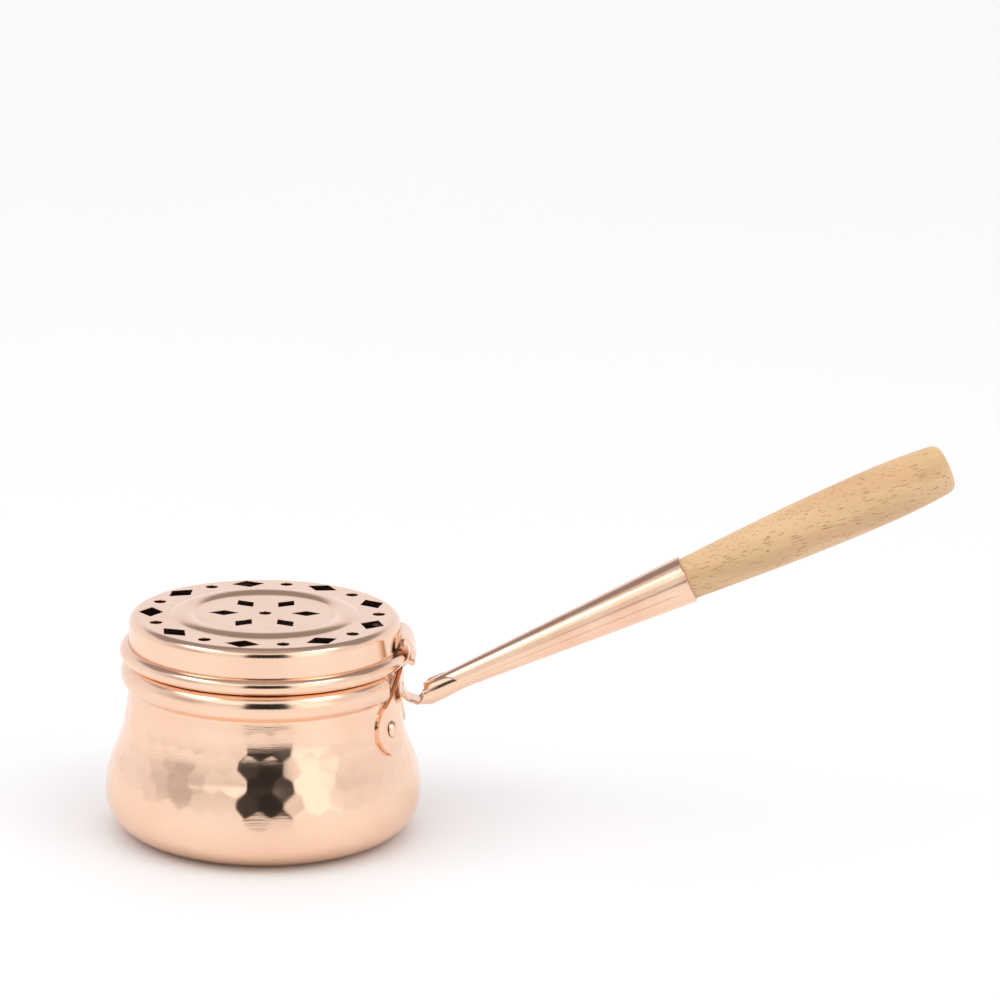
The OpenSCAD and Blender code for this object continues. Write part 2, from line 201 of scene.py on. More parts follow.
def worked(piece, tree, values):
    """Runs a tree on a piece with these values and keeps the result as its plain mesh."""
    modifier = piece.modifiers.new("shape", "NODES")
    modifier.node_group = tree
    for item in tree.interface.items_tree:
        if item.in_out == "INPUT" and item.name in values:
            modifier[item.identifier] = values[item.name]
    return settled(piece)


def settled(piece):
    """Turns a piece's modifiers into its plain mesh."""
    graph = bpy.context.evaluated_depsgraph_get()
    mesh = bpy.data.meshes.new_from_object(piece.evaluated_get(graph))
    piece.modifiers.clear()
    mesh.name = piece.name
    piece.data = mesh
    return piece


# ---------------------------------------------------------------- finishes
def finish_tree(name):
    """A new material: its tree, its shader and the place on the object, in millimetres."""
    material = bpy.data.materials.new(name)
    material.use_nodes = True
    tree = material.node_tree
    place = add(tree, "ShaderNodeTexCoord", out="Object")
    place = add(tree, "ShaderNodeVectorMath", {"operation": "SCALE"}, {0: place, "Scale": 1 / MM})
    return material, tree, tree.nodes["Principled BSDF"], place


def noise(place, scale, detail=2.0, stretch=(1, 1, 1), rough=0.5):
    """Soft noise from 0 to 1, with the pattern's size in millimetres as 1 / scale."""
    shaped = add(place.tree, "ShaderNodeVectorMath", {"operation": "MULTIPLY"},
                 {0: place, 1: stretch})
    return add(place.tree, "ShaderNodeTexNoise", None,
               {"Vector": shaped, "Scale": scale, "Detail": detail, "Roughness": rough})


def put(shader, socket, value):
    """Links or sets one of the shader's sockets."""
    if isinstance(value, Socket):
        value.tree.links.new(value.source, shader.inputs[socket])
    else:
        shader.inputs[socket].default_value = value


def raised(height, depth, strength=1.0):
    """A Bump normal from a height from 0 to 1 and its depth in millimetres."""
    return add(height.tree, "ShaderNodeBump", None,
               {"Height": height, "Distance": depth * MM, "Strength": strength})


def axis_lines(place, fineness):
    """Fine polishing lines that run round the Z axis, on walls and on flat tops alike."""
    parts = add(place.tree, "ShaderNodeSeparateXYZ", None, {"Vector": place})
    x, y, z = parts, parts.other("Y"), parts.other("Z")
    out = (x * x + y * y) ** 0.5
    lined = add(place.tree, "ShaderNodeCombineXYZ", None,
                {"X": x * 0.05, "Y": y * 0.05, "Z": (z + out) * fineness})
    return add(place.tree, "ShaderNodeTexNoise", None,
               {"Vector": lined, "Scale": 1.0, "Detail": 3.0, "Roughness": 0.6})


COPPER_FRESH = (0.95, 0.665, 0.49)
COPPER_WARM = (0.90, 0.57, 0.40)
# a deep copper tone, used only as painted shade in creases
COPPER_PAINTED_SHADE = (0.45, 0.20, 0.12)


def copper(name, along=None, satin=0.0, warm=0.35, streaks=0.0):
    """Polished copper with fine polishing lines, cloudy tarnish and cleaner edges, with painted
    shade darkening the creases.
    """
    material, tree, shader, place = finish_tree(name)
    if along:
        turn = along.inverted()
        place = add(tree, "ShaderNodeMapping", None, {
            "Vector": place, "Location": turn.to_translation(),
            "Rotation": turn.to_euler()})
    clouds = noise(place, 0.05, 3, rough=0.6)
    specks = noise(place, 0.9, 4, rough=0.65)
    lines = axis_lines(place, 5.0)
    crest = add(tree, "ShaderNodeNewGeometry", out="Pointiness")
    worn = crest.step(0.52, 0.58)
    # painted shade: where pointiness is low (creases, hollows) the colour goes towards the deep
    # tone, standing in for the shade that falls there
    painted_crease_shade = 1 - crest.step(0.42, 0.49)
    tone = mix(clouds.step(0.38, 0.68) * warm + specks * 0.08, COPPER_FRESH, COPPER_WARM)
    tone = mix(painted_crease_shade * 0.6, tone, COPPER_PAINTED_SHADE)
    tone = mix(worn * 0.3, tone, COPPER_FRESH)
    put(shader, "Base Color", tone)
    put(shader, "Metallic", 1.0)
    put(shader, "Roughness", 0.07 + satin + clouds * 0.07 + lines * 0.05 + painted_crease_shade * 0.25
        - worn * 0.02)
    height = lines * 0.6 + specks * 0.4
    if streaks:
        height = height + axis_lines(place, 1.1) * streaks
    put(shader, "Normal", raised(height, 0.012))
    return material


TIN_BRIGHT = (0.62, 0.57, 0.53)
TIN_WORN = (0.42, 0.33, 0.27)
SOOT = (0.06, 0.045, 0.035)
IRON_DARK = (0.20, 0.19, 0.185)
IRON_RUBBED = (0.42, 0.40, 0.385)
RUST = (0.20, 0.085, 0.04)


def tinned(name):
    """Wiped tin over copper, stained brown and black by smoke."""
    material, tree, shader, place = finish_tree(name)
    wipes = noise(place, 0.12, 4, (1, 1, 0.4), 0.6)
    soot = noise(place, 0.05, 5, rough=0.65).step(0.42, 0.66)
    grit = noise(place, 1.6, 3)
    tone = mix(wipes, TIN_BRIGHT, TIN_WORN)
    tone = mix(soot * 0.8, tone, SOOT)
    put(shader, "Base Color", tone)
    put(shader, "Metallic", 1 - soot * 0.8)
    put(shader, "Roughness", 0.34 + wipes * 0.15 + soot * 0.35)
    put(shader, "Normal", raised(grit * 0.5 + wipes * 0.5, 0.03))
    return material


def iron(name):
    """Plain drawn iron wire with a dark skin and rubbed spots."""
    material, tree, shader, place = finish_tree(name)
    skin = noise(place, 0.5, 4, rough=0.6)
    rust = noise(place, 0.25, 3).step(0.6, 0.75)
    tone = mix(skin, IRON_DARK, IRON_RUBBED)
    put(shader, "Base Color", mix(rust * 0.5, tone, RUST))
    put(shader, "Metallic", 1 - rust * 0.5)
    put(shader, "Roughness", 0.32 + skin * 0.2 + rust * 0.3)
    put(shader, "Normal", raised(skin, 0.02))
    return material


BEECH_PALE = (0.76, 0.50, 0.27)
BEECH_BAND = (0.62, 0.355, 0.175)
BEECH_OLIVE = (0.60, 0.40, 0.19)
BEECH_FLECK = (0.24, 0.10, 0.045)
GRAIN_TURN = math.radians(9)   # the grain runs out a little across the grip


def beech(name, along):
    """Oiled beech turned on the lathe: soft figure, short dark flecks and fine pores."""
    material, tree, shader, place = finish_tree(name)
    turn = (along @ Matrix.Rotation(GRAIN_TURN, 4, "Y")).inverted()
    place = add(tree, "ShaderNodeMapping", None, {
        "Vector": place, "Location": turn.to_translation(), "Rotation": turn.to_euler()})
    drift = noise(place, 0.06, 2, (1, 1, 0.35))
    parts = add(tree, "ShaderNodeSeparateXYZ", None, {"Vector": place})
    wave = parts * 0.5 + parts.other("Y") * 0.2 + drift * 9
    bands = (wave.math("SINE") * 0.5 + 0.5).step(0.15, 0.95)
    olive = noise(place, 0.09, 2, (1, 1, 0.4)).step(0.42, 0.66)
    flecks = noise(place, 1.0, 0, (3.6, 3.6, 0.24), 0.4).step(0.70, 0.735)
    pores = noise(place, 1.0, 1, (8, 8, 0.2)).step(0.5, 0.72)
    tone = mix(bands * 0.55, BEECH_PALE, BEECH_BAND)
    tone = mix(olive * 0.35, tone, BEECH_OLIVE)
    tone = mix(pores * 0.3, tone, BEECH_BAND)
    tone = mix(flecks * 0.75, tone, BEECH_FLECK)
    put(shader, "Base Color", tone)
    put(shader, "Roughness", 0.46 + pores * 0.12 - bands * 0.05 + flecks * 0.08)
    shader.inputs["Coat Weight"].default_value = 0.15
    shader.inputs["Coat Roughness"].default_value = 0.3
    height = 1 - pores * 0.5 - flecks * 0.3
    put(shader, "Normal", raised(height, 0.05, 0.6))
    return material


POT_COPPER = copper("Hammered copper", satin=0.015, warm=0.4, streaks=3.0)
LID_COPPER = copper("Polished lid copper", satin=0.02)
STRAP_COPPER = copper("Polished strap copper", satin=0.03)
SOCKET_COPPER = copper("Polished socket copper", ALONG_HANDLE, satin=0.03, warm=1.0)
PIN_COPPER = copper("Copper-washed pin", satin=0.12, warm=0.8)
TINNED = tinned("Smoked tin")
IRON = iron("Iron wire")
BEECH = beech("Oiled beech", ALONG_HANDLE)


# ---------------------------------------------------------------- shapes
def arc(centre, radius, start, end, steps):
    """Points on an arc, angles in degrees."""
    return [(centre[0] + radius * math.cos(math.radians(start + (end - start) * i / steps)),
             centre[1] + radius * math.sin(math.radians(start + (end - start) * i / steps)))
            for i in range(steps + 1)]


def line(start, end, steps):
    """Evenly spaced points between two, without the last."""
    return [tuple(Vector(start).lerp(Vector(end), i / steps)) for i in range(steps)]


def piece_of(name, form, finishes, place=None):
    """Makes a finished object from a bmesh in millimetres."""
    if place is not None:
        bmesh.ops.transform(form, matrix=place, verts=form.verts)
    bmesh.ops.scale(form, vec=(MM,) * 3, verts=form.verts)
    mesh = bpy.data.meshes.new(name)
    form.to_mesh(mesh)
    form.free()
    mesh.shade_smooth()
    piece = bpy.data.objects.new(name, mesh)
    bpy.context.scene.collection.objects.link(piece)
    for finish in finishes:
        mesh.materials.append(finish)
    return piece


def declare(piece, body, slot, *nodes):
    """Rides a piece on its body and hides the CAD nodes that it stands for."""
    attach(piece, body)
    if nodes:
        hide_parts(*nodes)


def turned(form, outline, columns, start=0.0, end=360.0, finish=0):
    """Turns an outline of (radius, height) points about Z. A part turn gets end caps."""
    whole = end - start >= 360
    count = columns if whole else columns + 1
    rows = []
    for out, height in outline:
        if out < 1e-6 and whole:
            rows.append([form.verts.new((0, 0, height))] * count)
            continue
        row = []
        for i in range(count):
            angle = math.radians(start + (end - start) * i / columns)
            row.append(form.verts.new((out * math.cos(angle), out * math.sin(angle), height)))
        rows.append(row)
    pairs = list(zip(rows, rows[1:])) + ([] if whole else [(rows[-1], rows[0])])
    for low, high in pairs:
        for i in range(columns):
            j = (i + 1) % count
            ring = [low[i], low[j], high[j], high[i]]
            corners_used = list(dict.fromkeys(ring))
            if len(corners_used) > 2:
                form.faces.new(corners_used).material_index = finish
    if not whole:
        form.faces.new([row[0] for row in rows]).material_index = finish
        form.faces.new([row[-1] for row in reversed(rows)]).material_index = finish
    return rows


def keep_flats(piece):
    """Gives every level face its own straight normal, so that the pierced top stays flat."""
    mesh = piece.data
    normals = [corner.vector.copy() for corner in mesh.corner_normals]
    for face in mesh.polygons:
        if abs(face.normal.z) > 0.99999:
            for corner in face.loop_indices:
                normals[corner] = face.normal.copy()
    mesh.normals_split_custom_set(normals)


def crisp(piece, degrees=40, bevel=0.0, segments=2):
    """Rounds a piece's edges and keeps its flats flat."""
    if bevel:
        modifier = piece.modifiers.new("edge", "BEVEL")
        modifier.width = bevel * MM
        modifier.segments = segments
        modifier.limit_method = "ANGLE"
        modifier.angle_limit = math.radians(degrees)
        modifier.harden_normals = True
    weighted = piece.modifiers.new("flats", "WEIGHTED_NORMAL")
    weighted.keep_sharp = True
    return settled(piece)


# ---------------------------------------------------------------- pot
POT_COLUMNS = 480
NECK_FLARE = 2.8        # how strongly the hollow flares under the rolled edge
EDGE_R = 0.25           # rounding of the pot's mouth
HAMMERED = (9.0, WAIST_Z - 4)   # heights between which the blows have their full depth
HAMMER_FADE = 5.0
BLOW_ROWS = 6
BLOWS_IN_ROW = 43
BLOW_LOWEST = 11.5
BLOW_PITCH = 5.8        # height from one row of blows to the next
BLOW_SCATTER = 0.2      # as a share of the spacing
BLOW_DEPTH = 0.26
BLOW_R = 4.6
BLOW_SEED = 7


def side_line(out, steps):
    """The pot's side at a distance out from its face, from the widest line to the waist.
    The hollow flares a little at once under the rolled edge."""
    turn = math.degrees(SIDE_TURN)
    hollow = []
    for x, z in arc((NECK_R + HOLLOW_R, WAIST_Z), HOLLOW_R - out, 180 + turn, 180,
                    steps[1])[1:]:
        share = (WAIST_Z - z) / (HOLLOW_R * math.sin(SIDE_TURN))
        hollow.append((x + NECK_FLARE * share * max(0, 1 - share) ** 2, z))
    return arc((BELLY_R - SHOULDER_R, HEEL_R), SHOULDER_R + out, 0, turn, steps[0]) + hollow


def hammer_tree():
    """Sinks a mesh towards its inside round staggered rows of hammer blows."""
    tree, given = node_shape("Hammer blows", {
        "Rows": "Int", "Blows in a row": "Int", "Lowest": "Float", "Pitch": "Float",
        "Start radius": "Float", "Scatter": "Float", "Depth": "Float", "Blow radius": "Float",
        "Seed": "Int", "Material": "Material"})
    index = add(tree, "GeometryNodeInputIndex")
    row = (index / given["Blows in a row"]).math("FLOOR")

    def scatter(salt):
        return add(tree, "FunctionNodeRandomValue", {"data_type": "FLOAT"},
                   {2: given["Scatter"] * -1, 3: given["Scatter"], 7: index,
                    8: given["Seed"] + salt}, 1)

    step = (index % given["Blows in a row"]) + (row % 2) * 0.5 + scatter(1)
    angle = step * (2 * math.pi) / given["Blows in a row"]
    height = given["Lowest"] + (row + scatter(2)) * given["Pitch"]
    spot = add(tree, "ShaderNodeCombineXYZ", None, {
        "X": given["Start radius"] * angle.math("COSINE"),
        "Y": given["Start radius"] * angle.math("SINE"), "Z": height})
    blows = add(tree, "GeometryNodePoints", None,
                {"Count": given["Rows"] * given["Blows in a row"], "Position": spot})
    landed = add(tree, "GeometryNodeProximity", {"target_element": "FACES"},
                 {0: given["Geometry"]})
    blows = add(tree, "GeometryNodeSetPosition", None, {"Geometry": blows, "Position": landed})
    reach = add(tree, "GeometryNodeProximity", {"target_element": "POINTS"}, {0: blows})
    share = (reach.other("Distance") / given["Blow radius"])
    share = share.math("MINIMUM", share, 1.0)
    nearest = add(tree, "GeometryNodeSampleNearest", {"domain": "POINT"}, {"Geometry": blows})
    force = add(tree, "FunctionNodeRandomValue", {"data_type": "FLOAT"},
                {2: 0.45, 3: 1.0, 7: index, 8: given["Seed"] + 3}, 1)
    force = add(tree, "GeometryNodeSampleIndex", {"data_type": "FLOAT", "domain": "POINT"},
                {"Geometry": blows, "Value": force, "Index": nearest})
    sunk = (1 - share * share) ** 1.25 * given["Depth"] * force
    part = add(tree, "GeometryNodeInputNamedAttribute", {"data_type": "FLOAT"},
               {"Name": "hammered"})
    inward = add(tree, "ShaderNodeVectorMath", {"operation": "SCALE"},
                 {0: add(tree, "GeometryNodeInputNormal"),
                  "Scale": sunk * part * -1})
    shape = add(tree, "GeometryNodeSetPosition", None,
                {"Geometry": given["Geometry"], "Offset": inward})
    slot = add(tree, "GeometryNodeInputMaterialIndex")
    outside = add(tree, "FunctionNodeCompare", {"data_type": "INT", "operation": "EQUAL"},
                  {2: slot, 3: 0})
    end_shape(tree, shape, given["Material"], outside)
    return tree


def make_pot():
    """The pot's wall with its rolled edge: hammered outside, tinned inside."""
    form = bmesh.new()
    hammered = form.verts.layers.float.new("hammered")
    heel = arc((BELLY_R - HEEL_R, HEEL_R), HEEL_R, -90, 0, 22)[:-1]
    outside = ([(0, 0), (20, 0)] + heel + side_line(0, (20, 42))
               + line((NECK_R, WAIST_Z), (NECK_R, MOUTH_Z), 6)[1:]
               + arc((NECK_R - EDGE_R, MOUTH_Z - EDGE_R), EDGE_R, 0, 90, 3))
    top = arc((NECK_R - SHEET + EDGE_R, MOUTH_Z - EDGE_R), EDGE_R, 90, 180, 3)
    inside = (side_line(-SHEET, (6, 10))[::-1]
              + arc((BELLY_R - HEEL_R, HEEL_R), HEEL_R - SHEET, 0, -90, 8)[1:]
              + [(15, SHEET), (0, SHEET)])
    rows = turned(form, outside + top, POT_COLUMNS)
    full, fade = HAMMERED, HAMMER_FADE
    for row in rows:
        height = row[0].co.z
        low = min(1.0, max(0.0, (height - full[0] + fade) / fade))
        high = min(1.0, max(0.0, (full[1] + fade / 2 - height) / (fade / 2)))
        for vert in row:
            vert[hammered] = low * high
    turned(form, [(NECK_R - SHEET, MOUTH_Z - EDGE_R)] + inside, POT_COLUMNS, finish=1)
    bmesh.ops.remove_doubles(form, verts=form.verts, dist=WELD)
    section = arc((LIP_X, LIP_Z), LIP_R, -61, 61, 20)
    section = [(NECK_R - SHEET / 2, section[0][1])] + section + [
        (NECK_R - SHEET / 2, section[-1][1])]
    turned(form, section, 320, NOTCH_A, 360 - NOTCH_A)
    pot = piece_of("pot_wall", form, (POT_COPPER, TINNED))
    worked(pot, hammer_tree(), {
        "Rows": BLOW_ROWS, "Blows in a row": BLOWS_IN_ROW, "Lowest": BLOW_LOWEST * MM,
        "Pitch": BLOW_PITCH * MM, "Start radius": BELLY_R * MM, "Scatter": BLOW_SCATTER,
        "Depth": BLOW_DEPTH * MM, "Blow radius": BLOW_R * MM, "Seed": BLOW_SEED,
        "Material": POT_COPPER})
    crisp(pot)
    declare(pot, "burner", "hammered_copper", "pot_body")


# ---------------------------------------------------------------- lid
LID_COLUMNS = 288
HOLE_ROUND = 0.1        # rounding of the pierced edges
PUNCH_OUT = 1.2         # how far a punch starts above the sheet


def punch(name, outline_at):
    """A cutter for one hole: its section widens at both faces of the sheet, so that the
    hole's edges come out rounded. outline_at(grow) gives the hole's outline."""
    form = bmesh.new()
    faces = []
    sections = [(HOLE_ROUND, PUNCH_OUT)]
    for angle in (0, 30, 60, 90):
        rad = math.radians(angle)
        sections.append((HOLE_ROUND * (1 - math.sin(rad)), -HOLE_ROUND * (1 - math.cos(rad))))
    lower = [(grow, -SHEET - z) for grow, z in reversed(sections)]
    for grow, z in sections + lower:
        faces.append([form.verts.new((x, y, z)) for x, y in outline_at(grow)])
    count = len(faces[0])
    for high, low in zip(faces, faces[1:]):
        for i in range(count):
            j = (i + 1) % count
            form.faces.new((high[j], high[i], low[i], low[j]))
    form.faces.new(faces[0])
    form.faces.new(faces[-1][::-1])
    bmesh.ops.recalc_face_normals(form, faces=form.faces)
    return piece_of(name, form, (LID_COPPER,))


def rounded_lozenge(radial, across, corner=0.1, steps=3):
    """An outline maker for a lozenge with small rounded corners."""
    def outline_at(grow):
        points = []
        for i in range(4):
            near, far = (radial / 2, across / 2) if i % 2 == 0 else (across / 2, radial / 2)
            tip = math.atan2(far, near)
            reach = near - corner / math.sin(tip)
            turn, spread = 90 * i, 90 - math.degrees(tip)
            centre = (reach * math.cos(math.radians(turn)), reach * math.sin(math.radians(turn)))
            points += arc(centre, corner + grow, turn - spread, turn + spread, steps)
        return points
    return outline_at


def round_hole(diameter):
    """An outline maker for a round hole."""
    return lambda grow: arc((0, 0), diameter / 2 + grow, 0, 350, 35)


def piercing_tree():
    """Cuts a ring of holes, each turned to face the middle, with one punch."""
    tree, given = node_shape("Ring of holes", {
        "Punch": "Object", "Holes": "Int", "Ring radius": "Float", "Height": "Float",
        "First": "Float", "Material": "Material"})
    index = add(tree, "GeometryNodeInputIndex")
    angle = given["First"] + index * (2 * math.pi) / given["Holes"]
    spot = add(tree, "ShaderNodeCombineXYZ", None, {
        "X": given["Ring radius"] * angle.math("COSINE"),
        "Y": given["Ring radius"] * angle.math("SINE"), "Z": given["Height"]})
    spots = add(tree, "GeometryNodePoints", None, {"Count": given["Holes"], "Position": spot})
    tool = add(tree, "GeometryNodeObjectInfo", None, {"Object": given["Punch"]}, "Geometry")
    turn = add(tree, "ShaderNodeCombineXYZ", None, {"Z": angle})
    ring = add(tree, "GeometryNodeInstanceOnPoints", None,
               {"Points": spots, "Instance": tool, "Rotation": turn})
    ring = add(tree, "GeometryNodeRealizeInstances", None, {"Geometry": ring})
    cut = add(tree, "GeometryNodeMeshBoolean", {"operation": "DIFFERENCE", "solver": "EXACT"},
              {0: given["Geometry"], 1: ring})
    end_shape(tree, cut, given["Material"])
    return tree


def make_lid():
    """The pierced lid with its raised ring, rounded corner and wired bead."""
    corner = (NECK_R - LID_CORNER_R, LID_Z1 - LID_CORNER_R)
    ridge_r = (RIDGE_HALF ** 2 + RIDGE_H ** 2) / (2 * RIDGE_H)
    ridge = (RIDGE_RING_R, LID_Z1 + RIDGE_H - ridge_r)
    half = math.degrees(math.asin(RIDGE_HALF / ridge_r))
    bead_low = -160
    join = math.degrees(math.acos((NECK_R - BEAD_X) / BEAD_R))
    outside = (arc((BEAD_X, BEAD_Z), BEAD_R, bead_low, join, 30)
               + line((NECK_R, BEAD_Z + BEAD_R), (NECK_R, corner[1]), 6)
               + arc(corner, LID_CORNER_R, 0, 90, 10)
               + arc(ridge, ridge_r, 90 - half, 90 + half, 16)
               + [(19, LID_Z1), (0, LID_Z1)])
    under_r = ridge_r - SHEET
    under_half = math.degrees(math.acos((LID_Z1 - SHEET - ridge[1]) / under_r))
    inside = ([(0, LID_Z1 - SHEET), (19, LID_Z1 - SHEET)]
              + arc(ridge, under_r, 90 + under_half, 90 - under_half, 12)
              + arc(corner, LID_CORNER_R - SHEET, 90, 0, 6)
              + [(NECK_R - SHEET, BEAD_Z + 2), (NECK_R - SHEET, BEAD_Z - BEAD_R + 1)])
    form = bmesh.new()
    turned(form, outside + inside + [outside[0]], LID_COLUMNS)
    bmesh.ops.remove_doubles(form, verts=form.verts, dist=WELD)
    lid = piece_of("pierced_lid", form, (LID_COPPER,))
    tree = piercing_tree()
    turn = math.radians(PATTERN_TURN)
    for name, outline, holes, ring_r, first in (
            ("lozenge", rounded_lozenge(*LOZENGE), RING_COUNT, HOLE_RING_R,
             math.pi / RING_COUNT),
            ("dot", round_hole(DOT_D), RING_COUNT, HOLE_RING_R, 0),
            ("petal", rounded_lozenge(*PETAL), PETAL_COUNT, PETAL_RING_R, 0),
            ("middle", round_hole(DOT_D), 1, 0, 0)):
        tool = punch("Punch " + name, outline)
        worked(lid, tree, {"Punch": tool, "Holes": holes, "Ring radius": ring_r * MM,
                           "Height": LID_Z1 * MM, "First": first + turn,
                           "Material": LID_COPPER})
        bpy.data.objects.remove(tool)
    lid.data.shade_smooth()
    crisp(lid)
    keep_flats(lid)
    declare(lid, "lid", "polished_copper", "lid_cap")


# ---------------------------------------------------------------- handle
def grip_at(share):
    """The grip's radius at a share of its visible length: it swells, then draws in."""
    start = SOCKET_R1 - SOCKET_T - 0.05
    if share < GRIP_PEAK:
        return start + (GRIP_R - start) * math.sin(math.pi / 2 * share / GRIP_PEAK)
    late = (share - GRIP_PEAK) / (1 - GRIP_PEAK)
    return GRIP_R - (GRIP_R - GRIP_END_R) * late ** 2


SEAM_COLUMN = -41        # the seam's place round the socket, in columns from its underside
SEAM_DEPTH = 0.3
SOCKET_COLUMNS = 192
SOCKET_EDGE_R = 0.35     # rounding at both ends of the socket


def make_socket():
    """The conical socket with its finished mouth."""
    form = bmesh.new()
    edge = SOCKET_EDGE_R
    wall = line((SOCKET_R0, edge), (SOCKET_R1, SOCKET_L - edge), 24)
    mouth = arc((SOCKET_R1 - edge, SOCKET_L - edge), edge, 0, 90, 4)
    inner = [(SOCKET_R1 - SOCKET_T + 0.15, SOCKET_L), (SOCKET_R1 - SOCKET_T, SOCKET_L - 0.15)]
    bore = [(SOCKET_R0 - SOCKET_T, 0.15), (SOCKET_R0 - SOCKET_T + 0.15, 0)]
    foot = arc((SOCKET_R0 - edge, edge), edge, -90, 0, 4)
    rows = turned(form, foot + wall[1:] + mouth + inner + bore + [foot[0]], SOCKET_COLUMNS)
    for row in rows[len(foot):len(foot) + len(wall) - 1]:
        point = row[SEAM_COLUMN].co
        out = point.xy.length
        point.xy *= (out - SEAM_DEPTH) / out
    bmesh.ops.remove_doubles(form, verts=form.verts, dist=WELD)
    socket = piece_of("conical_socket", form, (SOCKET_COPPER,), ALONG_HANDLE)
    crisp(socket)
    declare(socket, "burner", "polished_copper", "handle_socket")


TENON_L = 30.0          # the grip's tenon inside the socket
TENON_TAPER = 1.6


def make_grip():
    """The turned beech grip."""
    form = bmesh.new()
    body = [(grip_at(i / 60 * (1 - GRIP_ROUND / GRIP_L)),
             SOCKET_L + i / 60 * (GRIP_L - GRIP_ROUND)) for i in range(61)]
    start_r = grip_at(0)
    end_x = body[-1][0] - GRIP_ROUND
    end_z = SOCKET_L + GRIP_L - GRIP_DOME
    end = [(x, min(z, end_z)) for x, z in arc(
        (end_x, end_z - GRIP_ROUND + GRIP_DOME * 0.2), GRIP_ROUND, 8, 84, 12)]
    dome = [(end[-1][0] * math.cos(math.pi / 2 * i / 8),
             end[-1][1] + (end_z + GRIP_DOME - end[-1][1]) * math.sin(math.pi / 2 * i / 8))
            for i in range(1, 8)] + [(0, SOCKET_L + GRIP_L)]
    outline = ([(0, SOCKET_L - TENON_L), (start_r - TENON_TAPER, SOCKET_L - TENON_L)]
               + line((start_r - TENON_TAPER, SOCKET_L - TENON_L + 0.2), body[0], 8)
               + body + end + dome)
    turned(form, outline, 128)
    bmesh.ops.remove_doubles(form, verts=form.verts, dist=WELD)
    grip = piece_of("beech_grip", form, (BEECH,), ALONG_HANDLE)
    crisp(grip)
    declare(grip, "burner", "turned_beech", "wooden_grip")


# ---------------------------------------------------------------- strap, tongue, rivets
def form_of(node):
    """A bmesh in millimetres of a CAD node, with its flat faces whole again."""
    form = bmesh.new()
    form.from_mesh(frame["nodes"][node].data)
    bmesh.ops.remove_doubles(form, verts=form.verts, dist=2e-6)
    bmesh.ops.dissolve_limit(form, angle_limit=math.radians(1), verts=form.verts,
                             edges=form.edges)
    bmesh.ops.scale(form, vec=(1 / MM,) * 3, verts=form.verts)
    return form


def softened(node, name, body, slot, finish, edge):
    """A copy of a CAD node with rounded edges."""
    form = form_of(node)
    piece = piece_of(name, form, (finish,))
    crisp(piece, 35, edge)
    declare(piece, body, slot, node)


# The neck strip runs down the pot, bends out in a U, and wraps the socket's small end.
STRIP_HALF = 4.0
STRIP_T = 1.2
STRIP_FACE_X = NECK_R + 0.15 + STRIP_T
STRIP_BEND_R = 3.9
STRIP_LOW_Z = 43.65
STRIP_TOP_Z = 49.4
STRIP_DROOP = 8.0        # slope of the strip after the bend, in degrees
WRAP_ANGLE = 140.0       # how far the wrap reaches round the socket, each way
WRAP_L = 13.0
WRAP_START = 0.86        # share of the wrap already made where the strip meets the socket
WRAP_EDGE_T = 0.03       # thickness at the wrap's thin end


def smooth(value, low, high):
    """0 below low, 1 above high, and a smooth rise between them."""
    share = min(1.0, max(0.0, (value - low) / (high - low)))
    return share * share * (3 - 2 * share)


def strip_stations():
    """(inner point, direction, up, bend in rad/mm, half width, thickness) down the strip."""
    stations = []
    bend_z = STRIP_LOW_Z + STRIP_BEND_R
    bend_x = STRIP_FACE_X + STRIP_BEND_R
    for i in range(4):
        stations.append((Vector((STRIP_FACE_X, 0, STRIP_TOP_Z + (bend_z - STRIP_TOP_Z) * i / 4)),
                         Vector((1, 0, 0)), 0.0, STRIP_HALF, STRIP_T))
    for i in range(15):
        a = math.radians((90 - STRIP_DROOP) * i / 14)
        up = Vector((math.cos(a), 0, math.sin(a)))
        stations.append((Vector((bend_x, 0, bend_z)) - up * STRIP_BEND_R, up, 0.0,
                         STRIP_HALF, STRIP_T))
    start, up_start = stations[-1][0], stations[-1][1]
    up_end = ALONG_HANDLE.to_3x3() @ Vector((-1, 0, 0))

    def on_socket(along):
        radius = SOCKET_R0 + (SOCKET_R1 - SOCKET_R0) * max(0, along) / SOCKET_L + 0.03
        return ALONG_HANDLE @ Vector((radius, 0, along)), radius

    kink, radius = on_socket(-1.0)
    for i in range(1, 12):
        share = i / 12
        ease = smooth(share, 0.15, 1)
        point = start.lerp(kink, share)
        point.z -= 0.35 * math.sin(math.pi * share)
        up = up_start.lerp(up_end, smooth(share, 0.35, 1)).normalized()
        wrap = math.radians(WRAP_ANGLE * WRAP_START) * ease
        whole = radius * math.radians(WRAP_ANGLE) * WRAP_START
        bend = wrap / (STRIP_HALF + (whole - STRIP_HALF) * ease)
        stations.append((point, up, bend, wrap / bend if bend > 1e-4 else STRIP_HALF, STRIP_T))
    for i in range(27):
        along = -1.0 + (WRAP_L + 1.0) * i / 26
        point, radius = on_socket(along)
        full = math.radians(WRAP_ANGLE) * (WRAP_START + (1 - WRAP_START) * smooth(along, -1, 1.5))
        wrap = full * (1 - 0.62 * smooth(along, WRAP_L * 0.35, WRAP_L) ** 2)
        thin = STRIP_T * (1 - smooth(along, -1, WRAP_L)) + WRAP_EDGE_T
        stations.append((point, up_end, 1 / radius, wrap * radius, thin))
    return stations


